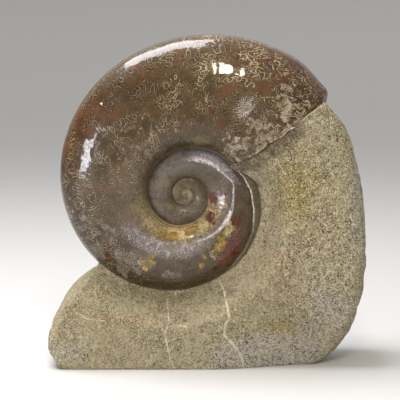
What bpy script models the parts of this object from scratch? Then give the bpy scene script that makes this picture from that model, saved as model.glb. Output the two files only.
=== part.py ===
"""A polished ammonite standing in a block of its own sandstone.

The shell's axis runs along Y through its umbilicus, and both of its flanks are free. The stone holds the
lower right half of the shell's rim and fills the last, broken part of its outer whorl. Metres, +Z up,
with the front of the fossil facing -Y. Angles are in degrees, anticlockwise from +X as seen from the front,
and they go on growing as the whorls wind inwards from the broken mouth.
"""

import math

import bmesh
import bpy
import numpy as np
from mathutils import Vector, noise

# Where the shell's axis stands over the middle of the base
AXIS_X = -0.0195
AXIS_Z = 0.1505

# The shell's spiral
TOP_RADIUS = 0.1417
MOUTH_ANGLE = 33.6
TURNS = 3.35
GROWTH = 0.958
GROWTH_CHANGE = 0.074

# The shell's whorl, as shares of the radius to its venter
SEAM_SHARE = 0.300
CREST_SHARE = 0.64
HALF_WIDTH_SHARE = 0.24
FLANK_POWER = 2.25
WALL_POWER = 2.1

# The broken end of the outer whorl, which narrows and then ends in a blunt nose
TAPER_ANGLE = 52.0
TAPER_SHARE = 0.03
NOSE_ANGLE = 38.0
NOSE_SHARE = 0.055

# Steps round one turn of the shell, with short ones at the nose, and across a whorl
NOSE_STEPS = (0.0, 1.5, 3.0)
TURN_STEP = 7.2
WALL_STEPS = 4
FLANK_STEPS = 4
VENTER_STEPS = 4

# The stone's edge, from the lip on the left, round the base, to the broken mouth: x and z from the shell's
# axis, the shell angle that the edge is tied to, and the rounding of the edge
STONE_EDGE = (
    (-0.0810, -0.0650, 219.3, 0.008),
    (-0.0905, -0.0745, 221.0, 0.012),
    (-0.1055, -0.0885, 225.0, 0.015),
    (-0.1150, -0.1035, 230.0, 0.015),
    (-0.1212, -0.1200, 235.0, 0.014),
    (-0.1222, -0.1350, 239.5, 0.012),
    (-0.1160, -0.1440, 243.0, 0.008),
    (-0.1060, -0.1505, 247.0, 0.003),
    (-0.0500, -0.1505, 258.0, 0.002),
    (0.0100, -0.1505, 272.0, 0.002),
    (0.0700, -0.1505, 288.0, 0.002),
    (0.1140, -0.1505, 303.0, 0.003),
    (0.1320, -0.1400, 311.0, 0.009),
    (0.1480, -0.1190, 321.0, 0.014),
    (0.1560, -0.0930, 330.0, 0.016),
    (0.1600, -0.0550, 342.0, 0.017),
    (0.1565, -0.0050, 358.0, 0.018),
    (0.1510, 0.0340, 371.0, 0.018),
    (0.1395, 0.0640, 382.5, 0.017),
    (0.1245, 0.0827, 393.3, 0.014),
)
EDGE_STEPS = 3

# How the stone meets the shell: it leaves the whorl at a share of its radius, and ramps up to its face
SOCKET_GAP = 0.0004
CONTACT_SHARE = 0.965
MOUTH_CONTACT_SHARE = 0.80
MOUTH_CONTACT_SPAN = 26.0
PAST_MOUTH = 1.0
RAMP_WIDTH = 0.028

# Half the stone's thickness: less towards the mouth, and less where the front and back turn away at the
# right end of the base
FACE_HALF = 0.0425
MOUTH_LOSS = 0.0065
MOUTH_Z = (-0.060, 0.070)
CORNER_LOSS = 0.019
CORNER_X = (0.020, 0.120)
CORNER_Z = (-0.070, -0.150)

# Steps round a section of the stone
SOCKET_STEPS = 6
RAMP_STEPS = 4
FACE_STEPS = 4
ROUND_STEPS = 2
SIDE_STEPS = 3

# The stone's unevenness
LUMP_HEIGHT = 0.0012
LUMP_LENGTH = 0.045

FULL_TURN = 360.0
SHARP_ANGLE = 40.0


def smooth(value):
    """0 to 1 with level ends."""
    value = min(1.0, max(0.0, value))
    return value * value * (3.0 - 2.0 * value)


def ramped(start, finish, value):
    return smooth((value - start) / (finish - start))


def plain_radius(angle):
    """From the axis to the venter, without the narrowing at the mouth."""
    turns = (angle - 90.0) / FULL_TURN
    curve = turns * turns if turns < 1.0 else 2.0 * turns - 1.0
    return TOP_RADIUS * math.exp(-GROWTH * turns - GROWTH_CHANGE * curve)


def venter_radius(angle):
    taper = TAPER_SHARE * ramped(TAPER_ANGLE, NOSE_ANGLE, angle)
    nose = NOSE_SHARE * max(0.0, (NOSE_ANGLE - angle) / (NOSE_ANGLE - MOUTH_ANGLE)) ** 2
    return plain_radius(angle) * (1.0 - taper - nose)


def seam_radius(angle):
    """Where the whorl's inner edge lies on the whorl inside it."""
    return SEAM_SHARE * plain_radius(angle)


def flank_point(angle, bow):
    """Radius and half thickness on the outer flank: bow is 0 at the crest and 90 degrees at the venter."""
    crest = CREST_SHARE * plain_radius(angle)
    out = math.sin(math.radians(bow)) ** (2.0 / FLANK_POWER)
    up = max(0.0, math.cos(math.radians(bow))) ** (2.0 / FLANK_POWER)
    return crest + (venter_radius(angle) - crest) * out, HALF_WIDTH_SHARE * plain_radius(angle) * up


def flank_bow(angle, radius):
    """The bow at which the outer flank has this radius."""
    crest = CREST_SHARE * plain_radius(angle)
    out = (radius - crest) / (venter_radius(angle) - crest)
    return math.degrees(math.asin(min(1.0, max(0.0, out)) ** (FLANK_POWER / 2.0)))


def overlap_bow(angle):
    """The bow at which the whorl outside this one covers it."""
    return flank_bow(angle, seam_radius(angle - FULL_TURN))


def wall_point(angle, rise):
    """Radius and half thickness on the umbilical wall: rise is 0 at the seam and 90 degrees at the crest."""
    inner = angle + FULL_TURN
    low_radius, low_width = flank_point(inner, flank_bow(inner, seam_radius(angle)))
    crest = CREST_SHARE * plain_radius(angle)
    high_width = HALF_WIDTH_SHARE * plain_radius(angle)
    back = math.cos(math.radians(rise)) ** (2.0 / WALL_POWER)
    up = math.sin(math.radians(rise)) ** (2.0 / WALL_POWER)
    return crest - (crest - low_radius) * max(0.0, back), low_width + (high_width - low_width) * up


def half_section(angle):
    """Radius and half thickness from the seam over the flank to the venter."""
    covered = overlap_bow(angle)
    points = [wall_point(angle, 90.0 * k / WALL_STEPS) for k in range(WALL_STEPS)]
    points += [flank_point(angle, covered * k / FLANK_STEPS) for k in range(FLANK_STEPS)]
    step = (90.0 - covered) / VENTER_STEPS
    points += [flank_point(angle, covered + step * k) for k in range(VENTER_STEPS + 1)]
    return points


def in_world(angle, radius, depth):
    turn = math.radians(angle)
    return (AXIS_X + radius * math.cos(turn), depth, AXIS_Z + radius * math.sin(turn))


def turn_angles():
    """The angles of one turn's sections, from the mouth."""
    regular = [TURN_STEP * k for k in range(1, round(FULL_TURN / TURN_STEP))]
    return [MOUTH_ANGLE + step for step in (*NOSE_STEPS, *regular)]


def build_ammonite():
    """One closed skin: whole sections round the outer turn, and strips on both sides for the turns inside it."""
    one_turn = turn_angles()
    count = len(one_turn)
    last = round(TURNS * count)
    angles = [one_turn[i % count] + FULL_TURN * (i // count) for i in range(last + 1)]
    covered = WALL_STEPS + FLANK_STEPS
    venter = covered + VENTER_STEPS
    back_covered, end = 2 * venter - covered, 2 * venter
    mesh = bmesh.new()
    rows = []
    for i, angle in enumerate(angles):
        half = half_section(angle)
        row = {}
        for k, (radius, width) in enumerate(half):
            if i >= count and k == covered:
                row[covered] = rows[i - count][0]
                row[back_covered] = rows[i - count][end]
            elif i <= count or k < covered:
                row[k] = mesh.verts.new(in_world(angle, radius, -width))
                if k != venter:
                    row[end - k] = mesh.verts.new(in_world(angle, radius, width))
                else:
                    row[k].co.y = 0.0
        rows.append(row)
    for i in range(last):
        spans = [range(end)] if i < count else [range(covered), range(back_covered, end)]
        for k in (k for span in spans for k in span):
            mesh.faces.new((rows[i][k], rows[i][k + 1], rows[i + 1][k + 1], rows[i + 1][k]))
    mouth = [rows[0][k] for k in range(end + 1)]
    mesh.faces.new(mouth + [rows[count][k] for k in range(back_covered - 1, covered, -1)])
    for first_k, last_k, side in ((0, covered, -1), (end, back_covered, 1)):
        rim = [rows[i][first_k] for i in range(last - count, last + 1)]
        step = 1 if last_k > first_k else -1
        rim += [rows[last][k] for k in range(first_k + step, last_k, step)]
        middle = sum((vert.co for vert in rim), Vector()) / len(rim)
        width = HALF_WIDTH_SHARE * plain_radius(angles[last - count])
        centre = mesh.verts.new((middle.x, side * width, middle.z))
        for k, vert in enumerate(rim):
            mesh.faces.new((vert, rim[(k + 1) % len(rim)], centre))
    return finished("ammonite", mesh)


def spline(rows, step):
    """A row of values between the rows given, by a curve through them all."""
    index = min(int(step), len(rows) - 2)
    share = step - index
    before, start = np.array(rows[max(0, index - 1)]), np.array(rows[index])
    finish, after = np.array(rows[index + 1]), np.array(rows[min(len(rows) - 1, index + 2)])
    into, out = (finish - before) / 2.0, (after - start) / 2.0
    square, cube = share * share, share * share * share
    return (
        (2 * cube - 3 * square + 1) * start
        + (cube - 2 * square + share) * into
        + (3 * square - 2 * cube) * finish
        + (cube - square) * out
    )


def contact_share(angle):
    """The share of the outer whorl's radius at which the stone's surface leaves it."""
    near_mouth = smooth(1.0 - (MOUTH_ANGLE + FULL_TURN - angle) / MOUTH_CONTACT_SPAN)
    return CONTACT_SHARE + (MOUTH_CONTACT_SHARE - CONTACT_SHARE) * near_mouth


def contact_point(angle):
    """Radius and half thickness where the stone's surface leaves the whorl."""
    return flank_point(angle, flank_bow(angle, contact_share(angle) * venter_radius(angle)))


def stone_half(x, z):
    """Half the stone's thickness at a point of its face, given from the shell's axis."""
    angle = math.degrees(math.atan2(z, x)) % FULL_TURN
    if angle < MOUTH_ANGLE + PAST_MOUTH:
        angle += FULL_TURN
    radius, low = contact_point(angle)
    high = FACE_HALF - MOUTH_LOSS * ramped(*MOUTH_Z, z)
    high -= CORNER_LOSS * ramped(*CORNER_X, x) * ramped(*CORNER_Z, z)
    return low + (high - low) * smooth((math.hypot(x, z) - radius) / RAMP_WIDTH)


def stone_half_section(edge):
    """Points (x, half thickness, z) from the bottom of the socket, over the stone's face, to its side."""
    edge_x, edge_z, angle, rounding = edge
    edge_z = max(edge_z, -AXIS_Z)
    turn = math.radians(angle)
    points = []
    contact = flank_bow(angle, contact_share(angle) * venter_radius(angle))
    for k in range(SOCKET_STEPS // 2 + 1):
        bow = 90.0 + (contact - 90.0) * k / (SOCKET_STEPS // 2)
        radius, width = flank_point(angle, bow)
        radius += SOCKET_GAP * math.sin(math.radians(bow)) + SOCKET_GAP / 2
        width += SOCKET_GAP * math.cos(math.radians(bow))
        points.append((radius * math.cos(turn), width, radius * math.sin(turn)))
    start_x, start_half, start_z = points[-1]
    span = math.hypot(edge_x - start_x, edge_z - start_z)
    rounding = min(rounding, span / 2.0)
    ramp = min(RAMP_WIDTH, (span - rounding) / 2.0)
    flat = span - ramp - rounding
    reaches = [ramp * k / RAMP_STEPS for k in range(1, RAMP_STEPS + 1)]
    reaches += [ramp + flat * k / FACE_STEPS for k in range(1, FACE_STEPS + 1)]
    bends = [math.radians(90.0 * k / ROUND_STEPS) for k in range(1, ROUND_STEPS + 1)]
    reaches += [span - rounding + rounding * math.sin(bend) for bend in bends]
    drops = [0.0] * (RAMP_STEPS + FACE_STEPS) + [rounding * (1.0 - math.cos(bend)) for bend in bends]
    for reach, drop in zip(reaches, drops):
        x = start_x + (edge_x - start_x) * reach / span
        z = start_z + (edge_z - start_z) * reach / span
        points.append((x, max(start_half / 2.0, stone_half(x, z) - drop), z))
    return points


def build_stone():
    """A horseshoe of sections from the lip on the left to the mouth, tied to the shell on one side."""
    mesh = bmesh.new()
    loops = []
    last = (len(STONE_EDGE) - 1) * EDGE_STEPS
    for j in range(last + 1):
        half = stone_half_section(spline(STONE_EDGE, j / EDGE_STEPS))
        side_x, side_y, side_z = half[-1]
        front = [Vector((x, -y, z)) for x, y, z in half]
        side = [Vector((side_x, side_y * (2.0 * k / SIDE_STEPS - 1.0), side_z)) for k in range(1, SIDE_STEPS)]
        back = [Vector((x, y, z)) for x, y, z in reversed(half[1:])]
        loops.append([mesh.verts.new(worn(place, half)) for place in (*front, *side, *back)])
    size = len(loops[0])
    for j in range(last):
        for k in range(size):
            after = (k + 1) % size
            mesh.faces.new((loops[j][k], loops[j][after], loops[j + 1][after], loops[j + 1][k]))
    mesh.faces.new(loops[0])
    mesh.faces.new(loops[last])
    return finished("matrix_stone", mesh)


def worn(place, half):
    """A point of the stone moved to its place over the base and given the stone's unevenness."""
    start = Vector((half[SOCKET_STEPS // 2][0], 0.0, half[SOCKET_STEPS // 2][2]))
    away = (Vector((place.x, 0.0, place.z)) - start).length
    free = smooth(away / RAMP_WIDTH)
    lump = noise.noise(place / LUMP_LENGTH) * LUMP_HEIGHT * free
    depth = place.y + math.copysign(lump, place.y) if place.y else 0.0
    return Vector((AXIS_X + place.x, depth, max(0.0, AXIS_Z + place.z)))


def finished(name, mesh):
    bmesh.ops.recalc_face_normals(mesh, faces=mesh.faces)
    bmesh.ops.triangulate(mesh, faces=[face for face in mesh.faces if len(face.verts) > 4])
    data = bpy.data.meshes.new(name)
    mesh.to_mesh(data)
    mesh.free()
    data.shade_smooth()
    data.set_sharp_from_angle(angle=math.radians(SHARP_ANGLE))
    piece = bpy.data.objects.new(name, data)
    bpy.context.scene.collection.objects.link(piece)
    return piece


def material(name, colour, roughness):
    made = bpy.data.materials.new(name)
    made.use_nodes = True
    shader = made.node_tree.nodes["Principled BSDF"]
    shader.inputs["Base Color"].default_value = (*colour, 1.0)
    shader.inputs["Roughness"].default_value = roughness
    shader.inputs["Metallic"].default_value = 0.0
    return made


def main():
    for old in list(bpy.data.objects):
        bpy.data.objects.remove(old)
    ammonite = build_ammonite()
    ammonite.data.materials.append(material("polished_shell", (0.20, 0.15, 0.10), 0.16))
    stone = build_stone()
    stone.data.materials.append(material("sandstone", (0.40, 0.36, 0.27), 0.9))


main()
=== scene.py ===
"""The looks of a polished ammonite in its block of sandstone, as a Blender add-on that runs as a script.

Metres, +Z up, with the front of the fossil facing -Y. Angles are in degrees, anticlockwise from +X as seen
from the front, and they go on growing as the whorls wind inwards from the broken mouth. Both pieces are
worked out from the shell's axis, which lies along Y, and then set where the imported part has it.
"""
import math

import bpy
import numpy as np
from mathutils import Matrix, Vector, noise


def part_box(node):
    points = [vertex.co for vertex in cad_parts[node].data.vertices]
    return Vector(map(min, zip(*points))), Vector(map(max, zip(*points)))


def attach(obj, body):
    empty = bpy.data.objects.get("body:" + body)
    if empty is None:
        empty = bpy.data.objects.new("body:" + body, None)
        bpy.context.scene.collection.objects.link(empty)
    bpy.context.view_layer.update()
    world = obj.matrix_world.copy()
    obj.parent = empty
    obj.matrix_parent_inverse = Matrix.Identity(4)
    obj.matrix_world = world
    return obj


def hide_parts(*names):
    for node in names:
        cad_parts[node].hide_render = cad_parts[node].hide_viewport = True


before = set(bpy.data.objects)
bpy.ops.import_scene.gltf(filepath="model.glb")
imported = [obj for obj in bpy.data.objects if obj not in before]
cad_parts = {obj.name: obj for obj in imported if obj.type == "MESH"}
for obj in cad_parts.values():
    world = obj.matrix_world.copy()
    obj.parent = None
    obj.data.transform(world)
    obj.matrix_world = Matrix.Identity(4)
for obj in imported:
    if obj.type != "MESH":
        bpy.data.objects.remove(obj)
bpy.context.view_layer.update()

bl_info = {
    "name": "Ammonite in Sandstone",
    "blender": (4, 5, 0),
    "version": (1, 0, 0),
    "location": "3D View > Sidebar > Ammonite",
    "description": "Builds a polished ammonite, the sandstone it stands in, and a plain stage",
    "category": "Object",
}

FULL_TURN = 360.0

# The size on the fossil of one point of the photograph. Lines and stains are placed in such points, x and z
# from the shell's axis
SPOT_SIZE = 0.0009

# The shell's spiral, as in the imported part
TOP_RADIUS = 0.1417
MOUTH_ANGLE = 33.6
TURNS = 3.35
GROWTH = 0.958
GROWTH_CHANGE = 0.074

# The whorl, as shares of the radius to its venter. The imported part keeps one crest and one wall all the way:
# here the crest moves outwards, and the wall inside it grows flatter, over the angles given
SEAM_SHARE = 0.300
HALF_WIDTH_SHARE = 0.24
FLANK_POWER = 2.25
CREST_SHARES = (0.50, 0.70)
CREST_ANGLES = (250.0, 385.0)
WALL_POWERS = (2.1, 1.4)
WALL_ANGLES = (240.0, 330.0)

# The broken end of the outer whorl, which narrows and then ends in a blunt nose, and its chips, in degrees
TAPER_ANGLE = 52.0
TAPER_SHARE = 0.03
NOSE_ANGLE = 38.0
NOSE_SHARE = 0.055
CHIP_ANGLE = 1.0
CHIP_SPAN = 4.0

# Steps of the fine shell: round its outer turn, round the turns inside it, across a whorl, and round the disc
# that closes its middle
OUTER_STEPS = 420
INNER_STEPS = 210
WALL_STEPS = 16
FLANK_STEPS = 18
VENTER_STEPS = 20
HUB_STEPS = 24

# The slight unevenness of the flanks
UNEVEN_LENGTH = 0.016
UNEVEN_HEIGHT = 0.00012

# The share of the radius at which the shell's chart is as long round the whorl as across it
CHART_SHARE = 0.64

# The shell layer that is left as a low step on the rim of the right-hand flank: the angles where it starts,
# is whole, begins to end and is gone, and how its edge lies, as a share of the radius
LAYER_ANGLES = (286.0, 304.0, 378.0, 392.0)
LAYER_SHARE = 0.925
LAYER_MIDDLE = 338.0
LAYER_SLANT = 0.0014

# The stone's edge from the lip on the left, round the base, to the mouth: x and z from the shell's axis, the
# shell angle that the edge is tied to, and the rounding of the edge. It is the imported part's edge, but its
# first point tucks the lip under the shell, and its last goes under the chips of the mouth
AXIS_HEIGHT = 0.1505
STONE_EDGE = (
    (-0.0778, -0.0604, 218.4, 0.003),
    (-0.0810, -0.0650, 219.3, 0.008),
    (-0.0905, -0.0745, 221.0, 0.012),
    (-0.1055, -0.0885, 225.0, 0.015),
    (-0.1150, -0.1035, 230.0, 0.015),
    (-0.1212, -0.1200, 235.0, 0.014),
    (-0.1222, -0.1350, 239.5, 0.012),
    (-0.1160, -0.1440, 243.0, 0.008),
    (-0.1060, -0.1505, 247.0, 0.003),
    (-0.0500, -0.1505, 258.0, 0.002),
    (0.0100, -0.1505, 272.0, 0.002),
    (0.0700, -0.1505, 288.0, 0.002),
    (0.1140, -0.1505, 303.0, 0.003),
    (0.1320, -0.1400, 311.0, 0.009),
    (0.1480, -0.1190, 321.0, 0.014),
    (0.1560, -0.0930, 330.0, 0.016),
    (0.1600, -0.0550, 342.0, 0.017),
    (0.1565, -0.0050, 358.0, 0.018),
    (0.1510, 0.0340, 371.0, 0.018),
    (0.1395, 0.0640, 382.5, 0.017),
    (0.1227, 0.0853, 394.8, 0.014),
)

# How the stone meets the shell: it leaves the whorl at a share of its radius, nearer to the venter than the
# packed stone does, and ramps up to its face
CONTACT_SHARE = 0.988
MOUTH_CONTACT_SHARE = 0.80
MOUTH_CONTACT_SPAN = 26.0
PAST_MOUTH = 3.0
RAMP_WIDTH = 0.028

# Half the stone's thickness, with what it loses towards the mouth and at the right end of the base, as packed
FACE_HALF = 0.0425
MOUTH_LOSS = 0.0065
MOUTH_Z = (-0.060, 0.070)
CORNER_LOSS = 0.019
CORNER_X = (0.020, 0.120)
CORNER_Z = (-0.070, -0.150)

# The stone's unevenness: the length of the lumps, how many finer sizes lie on them, and their height. Chips
# are cut this far in from the edge, and the stone is even this near to the shell and to its foot
BROAD_LUMPS = (0.045, 2, 0.0012)
SMALL_LUMPS = (0.014, 3, 0.0006)
RIM_LUMPS_EXTRA = 0.0004
GRAINS = (0.0045, 2, 0.0003)
CHIPS = (0.018, 2, 0.0022)
RIM_REACH = 0.014
SHELL_REACH = 0.012
FOOT_REACH = 0.006

# Steps of the fine stone: along its edge, and round a section
EDGE_STEPS = 19
SOCKET_STEPS = 8
RAMP_STEPS = 34
FACE_STEPS = 52
ROUND_STEPS = 14
SIDE_STEPS = 40

# How far from a vein or a crack its width is still known, in points
LINE_REACH = 8.0


# Shapes


def smooth(value):
    """0 to 1 with level ends."""
    value = np.clip(value, 0.0, 1.0)
    return value * value * (3.0 - 2.0 * value)


def ramped(start, finish, value):
    return smooth((value - start) / (finish - start))


def hump(value, middle, spread):
    """1 at the middle, and less away from it on both sides."""
    return np.exp(-(((value - middle) / spread) ** 2))


def spot(angle, share, middle, spread, level, depth):
    """1 at the middle of a spot on the whorl, and less away from it."""
    return hump(angle, middle, spread) * hump(share, level, depth)


def plain_radius(angle):
    """From the axis to the venter, without the narrowing at the mouth."""
    turns = (angle - 90.0) / FULL_TURN
    curve = np.where(turns < 1.0, turns * turns, 2.0 * turns - 1.0)
    return TOP_RADIUS * np.exp(-GROWTH * turns - GROWTH_CHANGE * curve)


def venter_radius(angle):
    taper = TAPER_SHARE * ramped(TAPER_ANGLE, NOSE_ANGLE, angle)
    nose = NOSE_SHARE * np.maximum(0.0, (NOSE_ANGLE - angle) / (NOSE_ANGLE - MOUTH_ANGLE)) ** 2
    return plain_radius(angle) * (1.0 - taper - nose)


def crest_share(angle):
    """Where the whorl is thickest: half way out at the mouth, and further out in the turns inside."""
    low, high = CREST_SHARES
    return low + (high - low) * ramped(*CREST_ANGLES, angle)


def crest_radius(angle):
    return crest_share(angle) * plain_radius(angle)


def flank_point(angle, bow):
    """Radius and half thickness on the outer flank: bow is 0 at the crest and 90 degrees at the venter."""
    crest = crest_radius(angle)
    out = np.sin(np.radians(bow)) ** (2.0 / FLANK_POWER)
    up = np.maximum(0.0, np.cos(np.radians(bow))) ** (2.0 / FLANK_POWER)
    return crest + (venter_radius(angle) - crest) * out, HALF_WIDTH_SHARE * plain_radius(angle) * up


def flank_bow(angle, radius):
    """The bow at which the outer flank has this radius."""
    crest = crest_radius(angle)
    out = np.clip((radius - crest) / (venter_radius(angle) - crest), 0.0, 1.0)
    return np.degrees(np.arcsin(out ** (FLANK_POWER / 2.0)))


def wall_point(angle, rise):
    """Radius and half thickness on the umbilical wall: rise is 0 at the seam and 90 degrees at the crest."""
    inner = angle + FULL_TURN
    low_radius, low_width = flank_point(inner, flank_bow(inner, SEAM_SHARE * plain_radius(angle)))
    crest = crest_radius(angle)
    high_width = HALF_WIDTH_SHARE * plain_radius(angle)
    power = WALL_POWERS[0] + (WALL_POWERS[1] - WALL_POWERS[0]) * ramped(*WALL_ANGLES, angle)
    back = np.maximum(0.0, np.cos(np.radians(rise))) ** (2.0 / power)
    up = np.sin(np.radians(rise)) ** (2.0 / power)
    return crest - (crest - low_radius) * back, low_width + (high_width - low_width) * up


def half_sections(angles):
    """Radius and half thickness, from the seam over the flank to the venter, for a column of angles."""
    angles = np.asarray(angles, float)[:, None]
    covered = flank_bow(angles, SEAM_SHARE * plain_radius(angles - FULL_TURN))
    rises = 90.0 * np.arange(WALL_STEPS) / WALL_STEPS
    bows = np.concatenate(
        [
            covered * (np.arange(FLANK_STEPS) / FLANK_STEPS),
            covered + (90.0 - covered) * (np.arange(VENTER_STEPS + 1) / VENTER_STEPS),
        ],
        axis=1,
    )
    wall = wall_point(angles, rises[None, :])
    flank = flank_point(angles, bows)
    return np.concatenate([wall[0], flank[0]], 1), np.concatenate([wall[1], flank[1]], 1)


def spline(rows, steps):
    """Rows of values between the rows given, by a curve through them all."""
    rows = np.asarray(rows, float)
    index = np.minimum(steps.astype(int), len(rows) - 2)
    share = (steps - index)[:, None]
    before, start = rows[np.maximum(0, index - 1)], rows[index]
    finish, after = rows[index + 1], rows[np.minimum(len(rows) - 1, index + 2)]
    into, out = (finish - before) / 2.0, (after - start) / 2.0
    square, cube = share**2, share**3
    return (
        (2 * cube - 3 * square + 1) * start
        + (cube - 2 * square + share) * into
        + (3 * square - 2 * cube) * finish
        + (cube - square) * out
    )


def contact_share(angle):
    near_mouth = smooth(1.0 - (MOUTH_ANGLE + FULL_TURN - angle) / MOUTH_CONTACT_SPAN)
    return CONTACT_SHARE + (MOUTH_CONTACT_SHARE - CONTACT_SHARE) * near_mouth


def contact_point(angle):
    return flank_point(angle, flank_bow(angle, contact_share(angle) * venter_radius(angle)))


def stone_half(x, z):
    """Half the stone's thickness at a point of its face, given from the shell's axis."""
    angle = np.degrees(np.arctan2(z, x)) % FULL_TURN
    angle = np.where(angle < MOUTH_ANGLE + PAST_MOUTH, angle + FULL_TURN, angle)
    radius, low = contact_point(angle)
    high = FACE_HALF - MOUTH_LOSS * ramped(*MOUTH_Z, z)
    high = high - CORNER_LOSS * ramped(*CORNER_X, x) * ramped(*CORNER_Z, z)
    return low + (high - low) * smooth((np.hypot(x, z) - radius) / RAMP_WIDTH)


def fractal(place, length, octaves):
    """Noise about 0 with lumps of this length, and finer ones on them."""
    return noise.fractal(place / length, 0.9, 2.0, octaves, noise_basis="PERLIN_ORIGINAL")


def line_distance(x, z, lines):
    """The signed distance to the nearest line, and its half width there, which is 0 away from all lines."""
    nearest = np.full(len(x), 1e3)
    side = np.full(len(x), 1e3)
    width = np.zeros(len(x))
    for line in lines:
        for (x0, z0, wide0), (x1, z1, wide1) in zip(line, line[1:]):
            step = np.hypot(x1 - x0, z1 - z0)
            reach = ((x - x0) * (x1 - x0) + (z - z0) * (z1 - z0)) / step**2
            share = np.clip(reach, 0.0, 1.0)
            away = np.hypot(x - x0 - share * (x1 - x0), z - z0 - share * (z1 - z0))
            across = ((x - x0) * (z1 - z0) - (z - z0) * (x1 - x0)) / step
            closer = away < nearest
            nearest = np.where(closer, away, nearest)
            side = np.where(closer, np.where(across < 0.0, -away, away), side)
            width = np.where(closer, (wide0 + (wide1 - wide0) * share) * (away < LINE_REACH), width)
    return side, width


def grid_faces(rows, columns, closed=False):
    """Four corners of every face between the rows and columns of a grid of vertices."""
    across = columns if closed else columns - 1
    row, column = np.meshgrid(np.arange(rows - 1), np.arange(across), indexing="ij")
    after = (column + 1) % columns
    here, below = row * columns, (row + 1) * columns
    return np.stack([here + column, here + after, below + after, below + column], -1).reshape(-1, 4)


def new_piece(name, points, faces, values):
    """A smooth mesh object, with a number or a colour of its own at each point for every name in values."""
    mesh = bpy.data.meshes.new(name)
    mesh.from_pydata(points.tolist(), [], faces)
    mesh.validate()
    mesh.shade_smooth()
    for value_name, value in values.items():
        kind, field = ("FLOAT_VECTOR", "vector") if value.ndim == 2 else ("FLOAT", "value")
        data = mesh.attributes.new(value_name, kind, "POINT").data
        data.foreach_set(field, value.astype(np.float32).ravel())
    piece = bpy.data.objects.new(name, mesh)
    bpy.context.scene.collection.objects.link(piece)
    return piece


def normals_of(points, faces):
    """The outward direction at every point, from its faces."""
    corner = points[faces]
    face_normal = np.cross(corner[:, 2] - corner[:, 0], corner[:, 3] - corner[:, 1])
    total = np.zeros_like(points)
    for k in range(4):
        np.add.at(total, faces[:, k], face_normal)
    return total / np.maximum(np.linalg.norm(total, axis=1, keepdims=True), 1e-12)


def shell_axis():
    """Where the shell's axis lies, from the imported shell's box."""
    low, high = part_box("ammonite")
    angles = np.arange(MOUTH_ANGLE, MOUTH_ANGLE + FULL_TURN, 0.2)
    reach_x = venter_radius(angles) * np.cos(np.radians(angles))
    reach_z = venter_radius(angles) * np.sin(np.radians(angles))
    return Vector(((low.x + high.x - reach_x.min() - reach_x.max()) / 2.0, 0.0, high.z - reach_z.max()))


# Shader formulas


def step_of(operation):
    """A method that adds one node to a formula."""

    def step(value, *others):
        return value.joined(operation, *others)

    return step


class Value:
    """A number in a shader's node tree. Sums of such numbers add the nodes that work them out."""

    def __init__(self, tree, socket):
        self.tree = tree
        self.socket = socket

    def joined(self, operation, *others):
        node = self.tree.nodes.new("ShaderNodeMath")
        node.operation = operation
        for place, other in zip(node.inputs, (self, *others)):
            if isinstance(other, Value):
                self.tree.links.new(other.socket, place)
            else:
                place.default_value = other
        return Value(self.tree, node.outputs[0])

    __add__ = __radd__ = step_of("ADD")
    __mul__ = __rmul__ = step_of("MULTIPLY")
    __sub__ = step_of("SUBTRACT")
    sine = step_of("SINE")
    whole = step_of("FLOOR")
    size = step_of("ABSOLUTE")
    root = step_of("SQRT")
    least = step_of("MINIMUM")
    most = step_of("MAXIMUM")
    over = step_of("GREATER_THAN")

    def __neg__(self):
        return self * -1.0

    def __rsub__(self, other):
        return -self + other

    def rise(self, start, finish):
        """0 at the start and 1 at the finish, with level ends."""
        node = self.tree.nodes.new("ShaderNodeMapRange")
        node.interpolation_type = "SMOOTHSTEP"
        self.tree.links.new(self.socket, node.inputs["Value"])
        node.inputs["From Min"].default_value = start
        node.inputs["From Max"].default_value = finish
        return Value(self.tree, node.outputs["Result"])


def length_of(across, along):
    return (across * across + along * along).root()


def brighter(colour, times):
    return [times * part for part in colour]


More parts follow.
